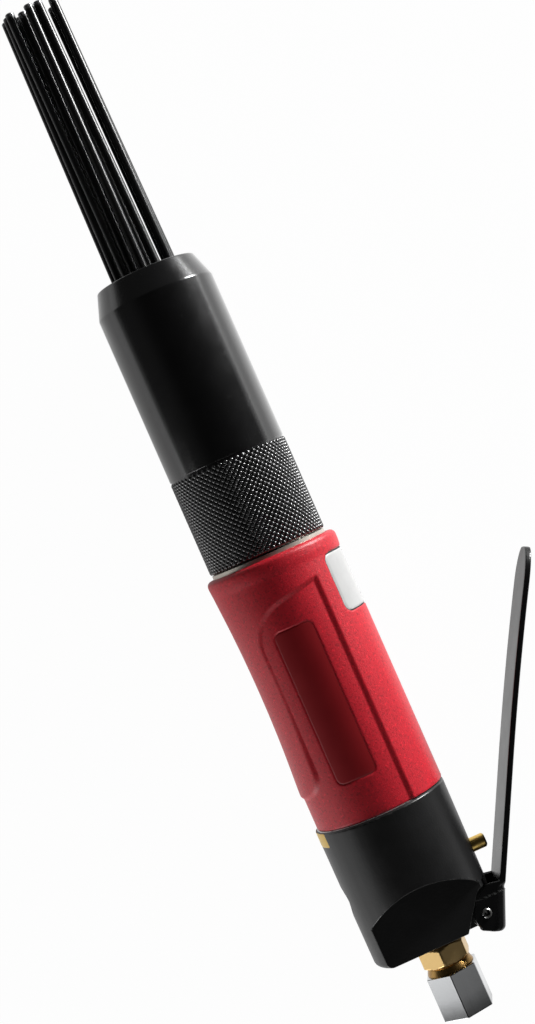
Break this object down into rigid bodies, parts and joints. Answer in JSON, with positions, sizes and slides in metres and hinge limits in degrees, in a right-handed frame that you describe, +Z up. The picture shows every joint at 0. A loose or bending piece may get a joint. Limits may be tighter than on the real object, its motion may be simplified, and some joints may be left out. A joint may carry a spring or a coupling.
{
  "type": "pneumatic needle scaler",
  "caption": "Lever-operated air needle scaler: hexagon air inlet, black housing, red grip, knurled front tube and a bundle of steel needles driven by a free piston.",
  "frame": {"origin": "centre of the air inlet's mouth, on the tool's axis", "axes": "+Y along the tool's axis towards the needle tips, +X towards the lever, +Z up along the lever pin; the tool lies on its side"},
  "size_m": [0.1074, 0.3745, 0.048],
  "materials": {
    "plated_steel": "bright zinc plate, satin",
    "brass": "turned brass",
    "bronze": "bored bronze",
    "black_casting": "satin black enamel",
    "black_sheet": "gloss black enamel",
    "blued_steel": "blackened steel",
    "black_tube": "black oxide, satin, knurled at the rear",
    "red_grip": "fine grained moulded grip",
    "pale_ring": "turned",
    "needle_steel": "blackened spring steel",
    "bright_steel": "ground",
    "seal_rubber": "matt"
  },
  "bodies": {
    "tool": {"inlet_fitting": "plated_steel", "inlet_bush": "brass", "inlet_screen": "bright_steel", "inlet_washer": "seal_rubber", "rear_housing": "black_casting", "lever_pin": "blued_steel", "throttle_bush": "bronze", "stem_seal": "seal_rubber", "throttle_spring": "bright_steel", "throttle_plug": "blued_steel", "plug_seal": "seal_rubber", "chest_gasket": "seal_rubber", "valve_seat_rear": "bright_steel", "valve_seat_front": "bright_steel", "valve_dowel": "bright_steel", "barrel": "bright_steel", "barrel_seal": "seal_rubber", "grip_sleeve": "red_grip", "lock_ring": "pale_ring", "anvil_bush": "bronze", "anvil_seal": "seal_rubber", "anvil_bumper": "seal_rubber", "nozzle": "black_tube", "nozzle_seal": "seal_rubber", "needle_spring": "bright_steel"},
    "lever": {"lever": "black_sheet"},
    "throttle": {"throttle_stem": "brass", "throttle_seal": "seal_rubber"},
    "valve": {"valve_disc": "bright_steel"},
    "piston": {"piston": "bright_steel"},
    "anvil": {"anvil": "bright_steel"},
    "needles": {"needle_holder": "bright_steel", "needle_01": "needle_steel", "needle_02": "needle_steel", "needle_03": "needle_steel", "needle_04": "needle_steel", "needle_05": "needle_steel", "needle_06": "needle_steel", "needle_07": "needle_steel", "needle_08": "needle_steel", "needle_09": "needle_steel", "needle_10": "needle_steel", "needle_11": "needle_steel", "needle_12": "needle_steel", "needle_13": "needle_steel", "needle_14": "needle_steel", "needle_15": "needle_steel", "needle_16": "needle_steel", "needle_17": "needle_steel", "needle_18": "needle_steel", "needle_19": "needle_steel"}
  },
  "joints": [
    {"name": "lever_pivot", "type": "hinge", "parent": "tool", "child": "lever", "pos_m": [0.0183, 0.0299, 0], "axis": [0, 0, 1], "range_deg": [0, 19.5]},
    {"name": "throttle_push", "type": "slide", "parent": "tool", "child": "throttle", "axis": [-1, 0, 0], "range_m": [0, 0.0042], "stiffness_N_per_m": 300, "springref_m": -0.004, "deforming": ["throttle_spring"]},
    {"name": "valve_flip", "type": "slide", "parent": "tool", "child": "valve", "axis": [0, 1, 0], "range_m": [0, 0.0008]},
    {"name": "piston_stroke", "type": "slide", "parent": "tool", "child": "piston", "axis": [0, 1, 0], "range_m": [0, 0.0389]},
    {"name": "needle_drive", "type": "slide", "parent": "tool", "child": "needles", "axis": [0, 1, 0], "range_m": [0, 0.006], "stiffness_N_per_m": 4000, "springref_m": -0.01, "deforming": ["needle_spring"]},
    {"name": "anvil_stroke", "type": "slide", "parent": "tool", "child": "anvil", "axis": [0, 1, 0], "range_m": [0, 0.006]}
  ],
  "couplings": [
    {"joint": "throttle_push", "follows": "lever_pivot", "m_per_rad": 0.01233},
    {"joint": "anvil_stroke", "follows": "needle_drive", "ratio": 1}
  ]
}
